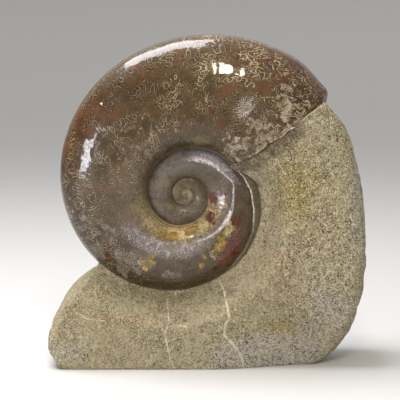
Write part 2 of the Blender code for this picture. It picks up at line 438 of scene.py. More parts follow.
class Paint:
    """The nodes of one material: its coordinates, noises, colours and shader."""

    def __init__(self, name):
        self.material = bpy.data.materials.new(name)
        self.material.use_nodes = True
        self.tree = self.material.node_tree
        self.shader = self.tree.nodes["Principled BSDF"]

    def link(self, start, finish):
        self.tree.links.new(start, finish)

    def attribute(self, name, output="Fac"):
        node = self.tree.nodes.new("ShaderNodeAttribute")
        node.attribute_name = name
        return node.outputs[output]

    def number(self, name):
        return Value(self.tree, self.attribute(name))

    def place(self):
        return self.tree.nodes.new("ShaderNodeTexCoord").outputs["Object"]

    def vector(self, *values):
        node = self.tree.nodes.new("ShaderNodeCombineXYZ")
        for place, value in zip(node.inputs, values):
            if isinstance(value, Value):
                self.link(value.socket, place)
            else:
                place.default_value = value
        return node.outputs[0]

    def noise(self, vector, length, detail=2.0, roughness=0.5):
        """Noise about 0, from -1 to 1 at most, with lumps of this length."""
        node = self.tree.nodes.new("ShaderNodeTexNoise")
        self.link(vector, node.inputs["Vector"])
        node.inputs["Scale"].default_value = 1.0 / length
        node.inputs["Detail"].default_value = detail
        node.inputs["Roughness"].default_value = roughness
        return Value(self.tree, node.outputs["Fac"]) * 2.0 - 1.0

    def cells(self, vector, length, output="Distance"):
        """For cells of this length, the distance to a cell's middle or its own tone."""
        node = self.tree.nodes.new("ShaderNodeTexVoronoi")
        self.link(vector, node.inputs["Vector"])
        node.inputs["Scale"].default_value = 1.0 / length
        return Value(self.tree, node.outputs[output])

    def chances(self, across, along):
        """Three numbers from 0 to 1 for each whole-numbered cell."""
        node = self.tree.nodes.new("ShaderNodeTexWhiteNoise")
        node.noise_dimensions = "2D"
        self.link(self.vector(across, along, 0.0), node.inputs["Vector"])
        split = self.tree.nodes.new("ShaderNodeSeparateXYZ")
        self.link(node.outputs["Color"], split.inputs[0])
        return [Value(self.tree, output) for output in split.outputs]

    def mixed(self, share, first, second):
        """Two colours mixed: each is a colour or an output."""
        node = self.tree.nodes.new("ShaderNodeMix")
        node.data_type = "RGBA"
        if isinstance(share, Value):
            self.link(share.socket, node.inputs[0])
        else:
            node.inputs[0].default_value = share
        for place, colour in ((node.inputs[6], first), (node.inputs[7], second)):
            if isinstance(colour, bpy.types.NodeSocket):
                self.link(colour, place)
            else:
                place.default_value = (*colour[:3], 1.0)
        return node.outputs[2]

    def layered(self, colour, layers):
        """A colour under layers: each is how much of it shows, and its own colour."""
        for amount, shade in layers:
            colour = self.mixed(amount, colour, shade)
        return colour

    def line(self, name, waver):
        """1 on the lines whose signed distance and half width are known at each point."""
        side = self.number(name + "_side") + self.noise(self.place(), 0.004, 2.0) * (waver / SPOT_SIZE)
        width = self.number(name + "_width")
        return (width - side.size()).rise(-0.35, 0.25) * width.over(0.05)

    def finish(self, colour, roughness, bumps, coat=None):
        """Sets the shader: bumps are pairs of a height and how far it stands out, in metres."""
        self.link(colour, self.shader.inputs["Base Color"])
        self.link(roughness.socket, self.shader.inputs["Roughness"])
        normal = None
        for height, distance in bumps:
            node = self.tree.nodes.new("ShaderNodeBump")
            node.inputs["Strength"].default_value = 1.0
            node.inputs["Distance"].default_value = distance
            self.link(height.socket, node.inputs["Height"])
            if normal is not None:
                self.link(normal, node.inputs["Normal"])
            normal = node.outputs[0]
        self.link(normal, self.shader.inputs["Normal"])
        if coat is not None:
            self.link(coat.socket, self.shader.inputs["Coat Weight"])
            self.link(normal, self.shader.inputs["Coat Normal"])
        return self.material


# Settings


def colour_setting(name, description, colour):
    return bpy.props.FloatVectorProperty(name=name, description=description, default=colour, subtype="COLOR")


class ShellSettings(bpy.types.PropertyGroup):
    layer_height: bpy.props.FloatProperty(
        name="Layer Height",
        description="How far the last shell layer stands up on the right-hand flank",
        default=0.0011,
        unit="LENGTH",
    )
    brown: colour_setting("Brown", "The upper outer whorl", (0.088, 0.050, 0.020))
    grey: colour_setting("Grey", "The inner whorls and the lower left", (0.105, 0.080, 0.052))
    olive: colour_setting("Olive", "The olive stains", (0.19, 0.16, 0.055))
    rust: colour_setting("Rust", "The rusty stains on the upper outer whorl", (0.19, 0.062, 0.020))
    # The nacre colour is the shell's pearly tint, and it also paints sheen and highlights on the shell
    nacre_and_sheen: colour_setting("Nacre", "The pearly speckles and lines", (0.44, 0.41, 0.43))
    suture_light: colour_setting("Light Suture", "The pale suture lines", (0.45, 0.35, 0.20))
    suture_dark: colour_setting("Dark Suture", "The dark suture lines", (0.018, 0.012, 0.006))
    growth_light: colour_setting("Light Growth Line", "The pale growth lines", (0.62, 0.50, 0.30))
    growth_dark: colour_setting("Dark Growth Line", "The dark growth lines", (0.10, 0.07, 0.032))


class StoneSettings(bpy.types.PropertyGroup):
    base: colour_setting("Base", "The sand's main colour", (0.385, 0.330, 0.200))
    second: colour_setting("Second", "The sand's darker parts", (0.275, 0.232, 0.125))
    pink: colour_setting("Pink", "The pink stains", (0.29, 0.180, 0.092))
    grey: colour_setting("Grey", "The grey parts near the foot and the right edge", (0.37, 0.355, 0.315))
    olive: colour_setting("Olive", "The olive stains", (0.27, 0.20, 0.030))
    # The strip's colour is painted light on the ramp beside the shell
    strip: colour_setting("Strip", "The pale strip beside the shell", (0.51, 0.430, 0.285))
    vein: colour_setting("Vein", "The calcite veins", (0.72, 0.66, 0.50))
    light_grain: colour_setting("Light Grain", "The pale grains", (0.68, 0.60, 0.44))
    dark_grain: colour_setting("Dark Grain", "The dark grains", (0.060, 0.046, 0.026))
    grain: bpy.props.FloatProperty(
        name="Grain", description="The size of the sand's grains", default=0.00084, unit="LENGTH"
    )


class StageSettings(bpy.types.PropertyGroup):
    floor: bpy.props.FloatVectorProperty(
        name="Floor", description="The floor and backdrop", default=(0.62, 0.61, 0.59), subtype="COLOR"
    )
    camera_distance: bpy.props.FloatProperty(
        name="Camera Distance", description="From the camera to the fossil", default=1.25, unit="LENGTH"
    )
    camera_elevation: bpy.props.FloatProperty(
        name="Camera Elevation", description="Above level", default=math.radians(8.0), subtype="ANGLE"
    )


# Pieces


def shell_mesh(settings):
    """The fine shell: whole sections round the outer turn, and a strip on each side for the turns inside."""
    outer = MOUTH_ANGLE + FULL_TURN * np.arange(OUTER_STEPS + 1) / OUTER_STEPS
    inner_count = round((TURNS - 1.0) * INNER_STEPS)
    inner = MOUTH_ANGLE + FULL_TURN + FULL_TURN * np.arange(inner_count + 1) / INNER_STEPS
    strip = WALL_STEPS + FLANK_STEPS + 2
    points, faces, charts = [], [], []

    def add(grid, *chart):
        """Adds a grid of points, with its angles, its ways across the whorl and its shares of the radius."""
        rows, columns = grid.shape[:2]
        faces.append(grid_faces(rows, columns) + sum(map(len, points)))
        points.append(grid.reshape(-1, 3))
        charts.append(np.stack([np.broadcast_to(each, (rows, columns)) for each in chart], -1).reshape(-1, 3))

    for angles, whole in ((outer, True), (inner, False)):
        radius, width = half_sections(angles)
        across = np.zeros_like(radius)
        steps = np.hypot(np.diff(radius, axis=1), np.diff(width, axis=1))
        across[:, 1:] = np.cumsum(steps, axis=1)
        across /= plain_radius(angles)[:, None]
        share = radius / venter_radius(angles)[:, None]
        near_side = (radius, -width, across, share)
        far_side = (radius, width, 2.0 * across[:, -1:] - across, share)
        if whole:
            sides = [[np.concatenate([near, far[:, -2::-1]], 1) for near, far in zip(near_side, far_side)]]
        else:
            sides = [[near[:, :strip] for near in near_side], [far[:, strip - 1 :: -1] for far in far_side]]
        for side_radius, depth, side_across, side_share in sides:
            turn = np.radians(angles[:, None] + mouth_chips(angles[:, None], side_share, depth))
            grid = np.stack([side_radius * np.cos(turn), depth, side_radius * np.sin(turn)], -1)
            add(grid, angles[:, None], side_across, side_share)
    rim_depth = half_sections(inner[-1:])[1][0, 0]
    rim_radius = plain_radius(inner[-1])
    for side in (-1.0, 1.0):
        turn = np.linspace(0.0, side * 2.0 * math.pi, HUB_STEPS + 1)
        hub = np.zeros((2, HUB_STEPS + 1, 3))
        hub[0, :, 0], hub[0, :, 2] = rim_radius * np.cos(turn), rim_radius * np.sin(turn)
        hub[:, :, 1] = side * rim_depth
        add(hub, inner[-1], 0.0, SEAM_SHARE)
    points, faces = np.concatenate(points), np.concatenate(faces)
    angle, across, share = np.concatenate(charts).T
    layer = layer_share(angle, share, points)
    uneven = np.array([fractal(Vector(place), UNEVEN_LENGTH, 2) for place in points]) * UNEVEN_HEIGHT
    points = points + normals_of(points, faces) * (uneven + layer * settings.layer_height)[:, None]
    mouth = list(range(2 * (WALL_STEPS + FLANK_STEPS + VENTER_STEPS) + 1))
    return points, [*faces.tolist(), mouth], (angle, across, share), layer


def mouth_chips(angle, share, depth):
    """How many degrees the broken mouth stands back: uneven chips that end a few degrees inside it."""
    wave = np.sin(share * 41.0 + depth * 90.0) + np.sin(share * 97.0 + 1.3) * 0.6 + np.sin(share * 23.0 + 0.4)
    return CHIP_ANGLE * np.maximum(0.0, wave * 0.3 + 0.35) * smooth(1.0 - (angle - MOUTH_ANGLE) / CHIP_SPAN)


def layer_limit(angle):
    """The share of the radius where the last shell layer ends, a little uneven."""
    turn = np.radians(angle)
    uneven = 0.006 * np.sin(turn * 9.0) + 0.004 * np.sin(turn * 23.0)
    return LAYER_SHARE - LAYER_SLANT * (angle - LAYER_MIDDLE) + uneven


def layer_share(angle, share, points):
    """1 where the last shell layer is left on the rim of the front right flank, and 0 elsewhere."""
    first, full, fading, last = LAYER_ANGLES
    inside = ramped(-0.012, 0.012, share - layer_limit(angle))
    round_it = ramped(first, full, angle) * (1.0 - ramped(fading, last, angle))
    return inside * round_it * (points[:, 1] < 0.0)


# How thick the sutures' lines are, in curls and in rows of folds, as shares of a cell of their pattern
CURL_THICKNESS = 0.095
FOLD_THICKNESS = 0.105


def lines_of(away, thin):
    """The light core and the dark border of a line, from the distance to its middle."""
    core = 1.0 - away.rise(0.4 * thin, 1.1 * thin)
    border = 1.0 - (away - 1.6 * thin).size().rise(0.3 * thin, 1.0 * thin)
    return core, border


def suture_curls(paint, along, across, cell, bend, dropped):
    """Linked arcs, light with a dark border: quarter circles set at random in a bent grid, some left out."""
    sway = paint.noise(paint.vector(along, across, 0.0), cell * 2.2, 1.0) * bend
    swing = paint.noise(paint.vector(across, along, 3.7), cell * 2.2, 1.0) * bend
    column = along * (1.0 / cell) + sway
    row = across * (1.0 / cell) + swing
    flip, kept_near, kept_far = paint.chances(column.whole(), row.whole())
    x = column - column.whole()
    y = row - row.whole()
    x = x + flip.over(0.5) * (1.0 - 2.0 * x)
    light, dark = None, None
    for corner, kept in ((0.0, kept_near), (1.0, kept_far)):
        core, border = lines_of((length_of(x - corner, y - corner) - 0.5).size(), CURL_THICKNESS)
        there = kept.over(dropped)
        light = core * there if light is None else light.most(core * there)
        dark = border * there if dark is None else dark.most(border * there)
    return light, dark


def suture_chains(paint, along, across, cell, spacing, dropped):
    """Rows of folds like the letters n and u in turn, light with a dark border, some lengths left out."""
    chart = paint.vector(along, across, 5.1)
    drift = paint.noise(chart, spacing * 2.4, 1.0) * spacing * 2.6
    sway = paint.noise(chart, cell * 3.0, 1.0) * 0.9
    column = along * (1.0 / cell) + sway
    row = (across + drift) * (1.0 / spacing)
    off = column - column.whole() - 0.5
    swing = (row - row.whole() - 0.5) * (spacing / cell) + paint.noise(chart, cell * 4.0, 1.0) * 1.2
    even = (column * 0.5 - (column * 0.5).whole()).over(0.5) * 2.0 - 1.0
    side = swing * even
    near = off.size()
    fold = 1.0 - near + side.over(0.0) * (2.0 * near - 1.0)
    leg = (side.size() - 0.35).most(0.0)
    light, dark = lines_of((length_of(fold, leg) - 0.5).size(), FOLD_THICKNESS)
    kept = paint.chances((column * 0.14).whole(), row.whole())[0].over(dropped)
    inside = 1.0 - ((swing.size() - spacing / cell * 0.5 + 0.35).over(0.0))
    return light * kept * inside, dark * kept * inside


# The shell's noises: length, how many finer sizes lie on it, and how rough it is
SHELL_NOISES = {
    "mottle": (0.011, 4.0, 0.6),
    "fine": (0.0026, 3.0, 0.65),
    "grit": (0.0012, 2.0, 0.6),
    "leafy": (0.0065, 5.0, 0.75),
    "olive": (0.013, 3.0, 0.6),
    "rusty": (0.021, 5.0, 0.72),
    "patchy": (0.004, 2.0),
    "toned": (0.009, 1.0),
    "wavy": (0.018, 2.0),
}

# Shades that come with the shell's markings: the dark of its mottle and leaves, the dark edge of a patch, the
# tan that some suture lines turn to, and the crack
MOTTLE_DARK = (0.016, 0.010, 0.004)
LEAF_DARK = (0.022, 0.015, 0.008)
PATCH_EDGE = (0.026, 0.017, 0.009)
SUTURE_TAN = (0.33, 0.22, 0.11)
CRACK_DARK = (0.02, 0.014, 0.010)

# The growth lines' wave: radians over the whole radius of a whorl
GROWTH_LINES = 300.0

# Patches of colour on the shell: the two shades that each is mottled with
PATCHES = {
    "cream": ((0.56, 0.44, 0.21), (0.30, 0.21, 0.09)),
    "frill": ((0.235, 0.205, 0.165), (0.105, 0.085, 0.065)),
    "amber": ((0.43, 0.265, 0.028), (0.21, 0.130, 0.015)),
    "red": ((0.055, 0.009, 0.003), (0.175, 0.032, 0.010)),
    "crystal": ((0.38, 0.315, 0.225), (0.085, 0.042, 0.024)),
}


def shell_material(settings):
    """Brown and grey polished shell with frilled suture lines, amber, red and cream patches, pearly patches
    that are partly painted sheen, and painted highlight lines on the crest and the layer's edge.
    """
    paint = Paint("polished_shell")
    place = paint.place()
    along, across = paint.number("along"), paint.number("across")
    chart = paint.vector(along, across, 0.0)
    chain_light, chain_dark = suture_chains(paint, along, across, cell=0.024, spacing=0.085, dropped=0.30)
    curl_light, curl_dark = suture_curls(paint, along, across, cell=0.027, bend=1.0, dropped=0.22)
    shifted = (along + 0.31, across + 0.17)
    fine_light, fine_dark = suture_curls(paint, *shifted, cell=0.017, bend=1.1, dropped=0.35)
    lined = 1.0 - paint.noise(chart, 0.085, 2.0).rise(0.10, 0.16)
    curled = paint.noise(paint.vector(across, along, 2.3), 0.11, 2.0).rise(-0.06, 0.02)
    light_lines = chain_light.most(curl_light * curled) * lined
    dark_lines = chain_dark.most(curl_dark * curled) * lined
    light = paint.number("light_lines") * (paint.noise(chart, 0.13, 1.0) * 1.3 + 0.95)
    dark = paint.number("dark_lines")

    tint = paint.attribute("tint", "Color")
    mottle, fine, grit, leafy, olive, rusty, patchy, toned, wavy = (
        paint.noise(place, *size) for size in SHELL_NOISES.values()
    )
    darkened = (mottle * 0.8 + fine * 0.8 + grit * 0.6 + 0.05).rise(-0.3, 0.55)
    rusted = (rusty - lined * 0.12).rise(-0.16, 0.42) * paint.number("warmth")
    colour = paint.layered(
        tint,
        (
            (darkened, paint.mixed(0.6, tint, MOTTLE_DARK)),
            ((olive * 1.4 - 0.1).rise(0.0, 0.5) * (1.0 - dark), paint.mixed(0.5, tint, settings.olive)),
            (rusted * 0.85, paint.mixed(0.55, tint, settings.rust)),
            ((leafy * 1.3 + fine * 0.7).rise(0.15, 0.5) * dark * 0.8, LEAF_DARK),
        ),
    )
    lobes = 0.42 - paint.cells(place, 0.0058)
    for name, shades in PATCHES.items():
        strength = paint.number(name)
        frilled = strength + lobes * 0.8 + leafy * 0.95 + fine * 0.3 + dark_lines * 0.15
        edge = frilled.rise(0.27, 0.37) * strength.rise(0.10, 0.35)
        shade = paint.mixed((patchy + grit * 0.9).rise(-0.3, 0.35), *shades)
        colour = paint.layered(colour, ((edge * 0.75, PATCH_EDGE), (frilled.rise(0.40, 0.50), shade)))

    # Pearly speckles and threads: partly the shell's nacre, partly painted sheen and highlights
    nacre_and_sheen = paint.number("nacre_and_sheen")
    scribble = fine_light * 0.9 - fine_dark * 0.25 + fine * 1.2 + grit * 0.9 + mottle * 0.5
    pearly_sheen = (nacre_and_sheen * (scribble + 0.30)).rise(0.20, 0.75)
    sheen_threads = fine_light.most(curl_light) * nacre_and_sheen.rise(0.25, 0.95)
    bands = (paint.number("share") * GROWTH_LINES + mottle).sine()
    growth = paint.number("growth") * 0.6
    tone = paint.mixed(toned.rise(-0.3, 0.3), settings.suture_light, SUTURE_TAN)
    # Painted highlight along the crest and the last layer's edge: a pale speckled line, over a low ridge of
    # bump
    ridge_and_highlight = 1.0 - (paint.number("highlight_ridge_side") + fine * 1.1 + mottle * 0.5).size()
    ridge_and_highlight = ridge_and_highlight.rise(-0.3, 0.9) * paint.number("highlight_ridge_there")
    painted_ridge_highlight = (ridge_and_highlight * (0.85 + fine * 2.0 + grit * 1.2)).most(0.0).least(1.0)
    crack = paint.line("crack", 0.0009)
    colour = paint.layered(
        colour,
        (
            (pearly_sheen * 0.9, settings.nacre_and_sheen),
            (sheen_threads * 0.6, brighter(settings.nacre_and_sheen, 1.5)),
            (bands.rise(0.1, 0.8) * growth, settings.growth_dark),
            ((-bands).rise(0.2, 0.9) * growth, settings.growth_light),
            (fine_dark * lined * dark, settings.suture_dark),
            (fine_light * lined * light * 0.6, settings.suture_light),
            (dark_lines * dark, settings.suture_dark),
            (light_lines * light, tone),
            (painted_ridge_highlight, brighter(settings.nacre_and_sheen, 1.8)),
            (crack * 0.9, CRACK_DARK),
        ),
    )
    raised_lines = light_lines * light - dark_lines * dark * 0.5
    bumps = (
        (wavy, 0.0004),
        (ridge_and_highlight, 0.0007),
        (raised_lines + pearly_sheen * 0.5 - crack * 3.0 + grit * 0.15, 0.00004),
    )
    paint.shader.inputs["Specular IOR Level"].default_value = 0.1
    paint.shader.inputs["Coat IOR"].default_value = 1.45
    paint.shader.inputs["Coat Roughness"].default_value = 0.03
    return paint.finish(colour, 0.30 + fine * 0.08, bumps, coat=paint.number("gloss"))


# Where each patch lies on the whorl: its angle and share of the radius, half its length in degrees, half its
# width as a share, how far it slants in share for a degree, and how strong it is
PATCH_SPOTS = {
    "cream": (
        (300.0, 0.39, 15.0, 0.07, 0.0, 1.0),
        (325.0, 0.68, 11.0, 0.075, 0.0, 1.15),
        (330.0, 0.41, 8.0, 0.11, 0.0, 0.9),
        (347.0, 0.46, 9.0, 0.09, 0.001, 0.9),
        (296.0, 0.72, 4.0, 0.11, 0.0, 0.6),
        (366.0, 0.5, 8.0, 0.07, 0.0, 0.7),
    ),
    "frill": (
        (229.0, 0.88, 7.0, 0.045, 0.004, 1.0),
        (221.0, 0.79, 5.0, 0.06, 0.0, 0.9),
        (193.0, 0.88, 13.0, 0.08, 0.0, 0.62),
        (213.0, 0.9, 6.0, 0.05, 0.003, 0.85),
        (236.0, 0.84, 4.0, 0.035, 0.0, 0.85),
        (205.0, 0.72, 9.0, 0.06, 0.0, 0.8),
        (258.0, 0.8, 11.0, 0.04, 0.0, 0.7),
    ),
    "amber": (
        (239.5, 0.715, 4.5, 0.08, 0.0, 1.05),
        (250.0, 0.4, 13.0, 0.045, -0.0016, 1.05),
        (278.0, 0.36, 11.0, 0.03, 0.0, 0.9),
        (283.0, 0.76, 3.0, 0.03, 0.0, 0.9),
        (287.0, 0.67, 3.0, 0.03, 0.0, 0.7),
        (308.0, 0.7, 7.0, 0.08, 0.0, 1.15),
        (297.0, 0.62, 4.0, 0.04, 0.0, 0.7),
    ),
    "red": (
        (310.0, 0.825, 13.0, 0.075, -0.0012, 1.3),
        (320.0, 0.77, 5.0, 0.06, 0.0, 1.1),
        (336.0, 0.71, 5.0, 0.075, 0.0, 1.25),
        (322.0, 0.385, 9.0, 0.04, 0.0, 1.15),
        (316.0, 0.465, 6.0, 0.014, 0.0, 0.8),
        (343.0, 0.5, 4.0, 0.03, 0.0, 0.7),
        (355.0, 0.385, 11.0, 0.055, 0.0, 1.1),
        (362.0, 0.52, 7.0, 0.045, 0.0, 1.0),
        (216.0, 0.84, 4.0, 0.04, 0.0, 0.7),
        (37.5, 0.76, 1.6, 0.022, 0.0, 0.8),
    ),
    "crystal": (
        (45.0, 0.8, 5.5, 0.06, 0.006, 0.9),
        (40.0, 0.72, 3.5, 0.05, 0.0, 0.8),
        (46.0, 0.59, 7.0, 0.06, 0.0, 0.9),
        (56.0, 0.61, 3.0, 0.05, 0.0, 0.7),
        (38.0, 0.57, 4.0, 0.07, 0.0, 0.95),
        (47.0, 0.4, 8.0, 0.07, 0.0, 0.8),
        (36.0, 0.88, 2.0, 0.05, 0.0, 0.8),
        (34.5, 0.62, 2.2, 0.33, 0.0, 0.85),
    ),
    # The nacre spots are partly pearly shell and partly painted sheen and highlights: the sheen band under the
    # crest at the bottom, the streak on the left crest, the sparkle beside the mouth, and the speckled
    # highlight on the second whorl's crest
    "nacre_and_sheen": (
        (258.0, 0.54, 44.0, 0.075, 0.0, 1.35),
        (222.0, 0.57, 18.0, 0.06, 0.0, 1.0),
        (233.0, 0.74, 13.0, 0.09, 0.0, 0.75),
        (57.5, 0.62, 3.2, 0.055, 0.0, 1.8),
        (412.0, 0.72, 26.0, 0.08, 0.0, 1.25),
        (392.0, 0.72, 15.0, 0.07, 0.0, 1.2),
        (196.0, 0.82, 10.0, 0.08, 0.0, 0.3),
        (138.0, 0.47, 30.0, 0.016, 0.0, 0.6),
        (450.0, 0.55, 50.0, 0.06, 0.0, 0.4),
    ),
}

# Broad washes of colour on the shell, one over the other; the marked ones are painted shade, light and sheen.
# The middle and half spread of each in degrees and in share of the radius, its colour, and how much of it
# there is
WASHES_AND_PAINTED_LIGHT = (
    # Dark brown on the umbilical wall at the top, deepened as painted shade where the wall faces down
    (90.0, 70.0, 0.36, 0.09, (0.037, 0.023, 0.012), 0.9),
    (58.0, 26.0, 0.93, 0.1, (0.085, 0.036, 0.013), 0.75),
    (80.0, 18.0, 0.8, 0.1, (0.111, 0.076, 0.027), 0.6),
    (55.0, 20.0, 0.62, 0.12, (0.135, 0.098, 0.055), 0.6),
    (112.0, 22.0, 0.97, 0.05, (0.096, 0.079, 0.037), 0.8),
    (150.0, 24.0, 0.92, 0.07, (0.105, 0.034, 0.009), 0.95),
    (155.0, 26.0, 0.78, 0.09, (0.07, 0.046, 0.03), 0.6),
    (176.0, 18.0, 0.95, 0.08, (0.022, 0.013, 0.006), 0.95),
    (165.0, 14.0, 0.67, 0.07, (0.074, 0.061, 0.014), 0.6),
    (180.0, 34.0, 0.5, 0.18, (0.11, 0.088, 0.055), 0.75),
    (200.0, 20.0, 0.86, 0.15, (0.048, 0.04, 0.029), 0.9),
    (231.0, 14.0, 0.8, 0.11, (0.058, 0.038, 0.022), 0.6),
    (206.0, 34.0, 0.36, 0.09, (0.4, 0.31, 0.18), 0.95),
    (221.0, 12.0, 0.68, 0.11, (0.05, 0.028, 0.019), 0.8),
    (243.0, 26.0, 0.98, 0.09, (0.027, 0.019, 0.005), 0.95),
    (278.0, 26.0, 0.97, 0.08, (0.025, 0.019, 0.005), 0.95),
    (262.0, 26.0, 0.8, 0.1, (0.062, 0.042, 0.019), 0.8),
    # Pale grey band under the crest at the bottom: partly the shell's grey, partly painted sheen
    (262.0, 54.0, 0.54, 0.09, (0.19, 0.155, 0.12), 0.8),
    # The cream of the umbilical wall at the bottom, brightened past its own colour as painted light in the
    # recess
    (272.0, 46.0, 0.36, 0.1, (0.86, 0.62, 0.27), 0.97),
    (332.0, 34.0, 0.4, 0.15, (0.52, 0.38, 0.21), 0.85),
    (297.0, 10.0, 0.74, 0.12, (0.096, 0.079, 0.02), 0.8),
    (345.0, 26.0, 0.82, 0.1, (0.072, 0.036, 0.011), 0.85),
    (372.0, 18.0, 0.66, 0.14, (0.11, 0.078, 0.045), 0.7),
    (388.0, 14.0, 0.84, 0.16, (0.074, 0.068, 0.031), 0.8),
    (430.0, 36.0, 0.88, 0.18, (0.105, 0.088, 0.09), 0.8),
    (540.0, 90.0, 0.68, 0.26, (0.215, 0.188, 0.165), 0.85),
    (515.0, 26.0, 0.72, 0.14, (0.15, 0.125, 0.06), 0.6),
    (640.0, 90.0, 0.5, 0.22, (0.23, 0.195, 0.145), 0.75),
    (470.0, 90.0, 0.36, 0.07, (0.074, 0.062, 0.026), 0.7),
    # Painted shadow along the seam under the outer whorl at the top
    (96.0, 60.0, 0.3, 0.016, (0.007, 0.005, 0.003), 0.95),
)

# The colours that some parts of the shell turn to: a painted reflection along the rim of the outer whorl, the
# last shell layer, and the whorls in the middle
RIM_REFLECTION = (0.150, 0.110, 0.070)
LAST_LAYER = (0.200, 0.180, 0.120)
INNER_WHORL = (0.230, 0.190, 0.125)
INNERMOST_WHORL = (0.290, 0.245, 0.160)

# How much less red, green and blue the outer part of the flank has
RICHNESS = (0.08, 0.16, 0.26)

# The far flank's washes and patches are turned this many degrees against the near one's
BACK_TURN = 14.0

# Where the suture lines are full of squiggles, missing, clear or dark and olive, and where growth lines show:
# the middle and half spread in degrees and in share of the radius
LINE_SPOTS = {
    "squiggled": ((206.0, 30.0, 0.82, 0.16), (224.0, 14.0, 0.72, 0.12)),
    "missing": ((78.0, 34.0, 0.36, 0.09),),
    "clear": ((62.0, 28.0, 0.80, 0.18), (128.0, 34.0, 0.50, 0.11)),
    "olive": ((118.0, 24.0, 0.86, 0.12),),
    "growth": ((250.0, 50.0, 0.31, 0.042), (615.0, 60.0, 0.90, 0.05)),
}

# A dark crack in the shell beside the mouth: x, z and half width in points
SHELL_CRACKS = (
    ((96, 103, 0.3), (103, 101, 0.8), (108, 99, 0.6), (114, 95, 0.3)),
    ((128, 92, 0.4), (122, 87, 0.7), (114, 81, 0.3)),
)


def broad_tint(settings, angle, share, shifted, layer):
    """The shell's broad colour at each point, with some painted shade, light, sheen and a rim reflection in
    it.
    """
    greyed = 0.9 * smooth((angle - 165.0) / 60.0) * (angle < 400.0)
    covers = [(settings.grey, np.maximum(greyed, smooth((angle - 385.0) / 25.0)))]
    covers += [(colour, amount * spot(shifted, share, *shape)) for *shape, colour, amount in WASHES_AND_PAINTED_LIGHT]
    covers += [
        # Painted reflection along the outer whorl's rim
        (RIM_REFLECTION, 0.5 * smooth((share - 0.98) / 0.02) * (angle < 215.0)),
        (LAST_LAYER, 0.9 * layer),
        (INNER_WHORL, 0.8 * smooth((angle - 740.0) / 90.0)),
        (INNERMOST_WHORL, 0.8 * smooth((angle - 1040.0) / 60.0)),
    ]
    tint = np.array(settings.brown)
    for colour, amount in covers:
        tint = tint + (np.array(colour) - tint) * amount[:, None]
    rich = smooth((share - 0.58) / 0.25) * (angle < 330.0)
    return tint * (1.0 - rich[:, None] * np.array(RICHNESS))


def painted_highlight_lines(angle, share):
    """The painted highlight lines, with a pearly tint, on the crest and the last layer's edge: half widths
    from the middle, and strength.
    """
    first, full, fading, last = LAYER_ANGLES
    crest = crest_share(angle) - 0.04 + 0.04 * hump(angle, 376.0, 9.0)
    crest_wide = 0.014 + 0.018 * hump(angle, 332.0, 16.0) + 0.030 * ramped(388.0, 410.0, angle)
    crest_highlight = ramped(276.0, 300.0, angle) * (1.0 - ramped(425.0, 460.0, angle))
    crest_highlight = crest_highlight * (0.60 + 0.40 * hump(angle, 342.0, 20.0))
    edge = layer_limit(angle)
    edge_highlight = ramped(first, full, angle) * (1.0 - ramped(fading, last, angle))
    edge_highlight = 0.9 * edge_highlight * (0.2 + 0.8 * ramped(328.0, 352.0, angle))
    on_edge = share > (crest + edge) / 2.0
    side = np.where(on_edge, (share - edge) / 0.009, (share - crest) / crest_wide)
    return side, np.where(on_edge, edge_highlight, crest_highlight)


def shell_values(settings, points, angle, share, layer):
    """What the shell's material reads at each point: its broad colour, and how strong each marking is."""
    front = smooth((0.002 - points[:, 1]) / 0.004)
    shifted = angle + BACK_TURN * (1.0 - front)
    there = {
        name: np.max([spot(angle, share, *shape) for shape in shapes], axis=0)
        for name, shapes in LINE_SPOTS.items()
    }
    low = smooth((angle - 150.0) / 50.0) * (angle < 400.0)
    wall = np.exp(-(((angle - 265.0) / 80.0) ** 4) - ((share - 0.32) / 0.10) ** 4)
    outside = 1.0 - 0.85 * smooth((angle - 385.0) / 20.0)
    fade = outside * (1.0 - 0.8 * layer) * (1.0 - 0.8 * there["missing"])
    light = 0.46 + 0.62 * there["clear"] - 0.12 * low + 0.40 * there["squiggled"] - 0.24 * there["olive"]
    dark = 0.60 + 0.20 * low + 0.40 * np.maximum(there["squiggled"], there["olive"])
    values = {
        "tint": broad_tint(settings, angle, share, shifted, layer),
        "light_lines": light * fade * (1.0 - 0.6 * wall),
        "dark_lines": dark * fade * (1.0 - 0.8 * wall),
        "warmth": (1.0 - 0.8 * smooth((angle - 185.0) / 50.0)) * smooth((share - 0.36) / 0.14),
        "growth": np.maximum(there["growth"], 0.7 * smooth((angle - 1000.0) / 60.0)),
        "gloss": 1.0 - 0.85 * smooth((angle - 500.0) / 100.0),
    }
    for name, spots in PATCH_SPOTS.items():
        strength = np.zeros(len(points))
        for middle, level, half_length, half_width, slant, power in spots:
            away = (shifted - middle) / half_length
            off = (share - level - slant * (angle - middle)) / half_width
            strength = np.maximum(strength, power * np.exp(-0.7 * (away**2 + off**2)))
        values[name] = strength * (0.85 + 0.15 * front) * (1.0 - layer)
    values["highlight_ridge_side"], highlight_ridge_there = painted_highlight_lines(angle, share)
    values["highlight_ridge_there"] = highlight_ridge_there * front
    side, width = line_distance(points[:, 0] / SPOT_SIZE, points[:, 2] / SPOT_SIZE, SHELL_CRACKS)
    values["crack_side"], values["crack_width"] = side, width * front
    return values


class AMMONITE_OT_shell(bpy.types.Operator):
    """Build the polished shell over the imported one"""

    bl_idname = "ammonite.shell"
    bl_label = "Polished Shell"

    def execute(self, context):
        settings = context.scene.ammonite_shell
        points, faces, (angle, across, share), layer = shell_mesh(settings)
        values = shell_values(settings, points, angle, share, layer)
        values |= {"along": np.radians(angle) * CHART_SHARE, "across": across, "share": share}
        shell = new_piece("polished_ammonite", points + np.array(shell_axis()), faces, values)
        shell.data.materials.append(shell_material(settings))
        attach(shell, "root")
        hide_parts("ammonite")
        return {"FINISHED"}


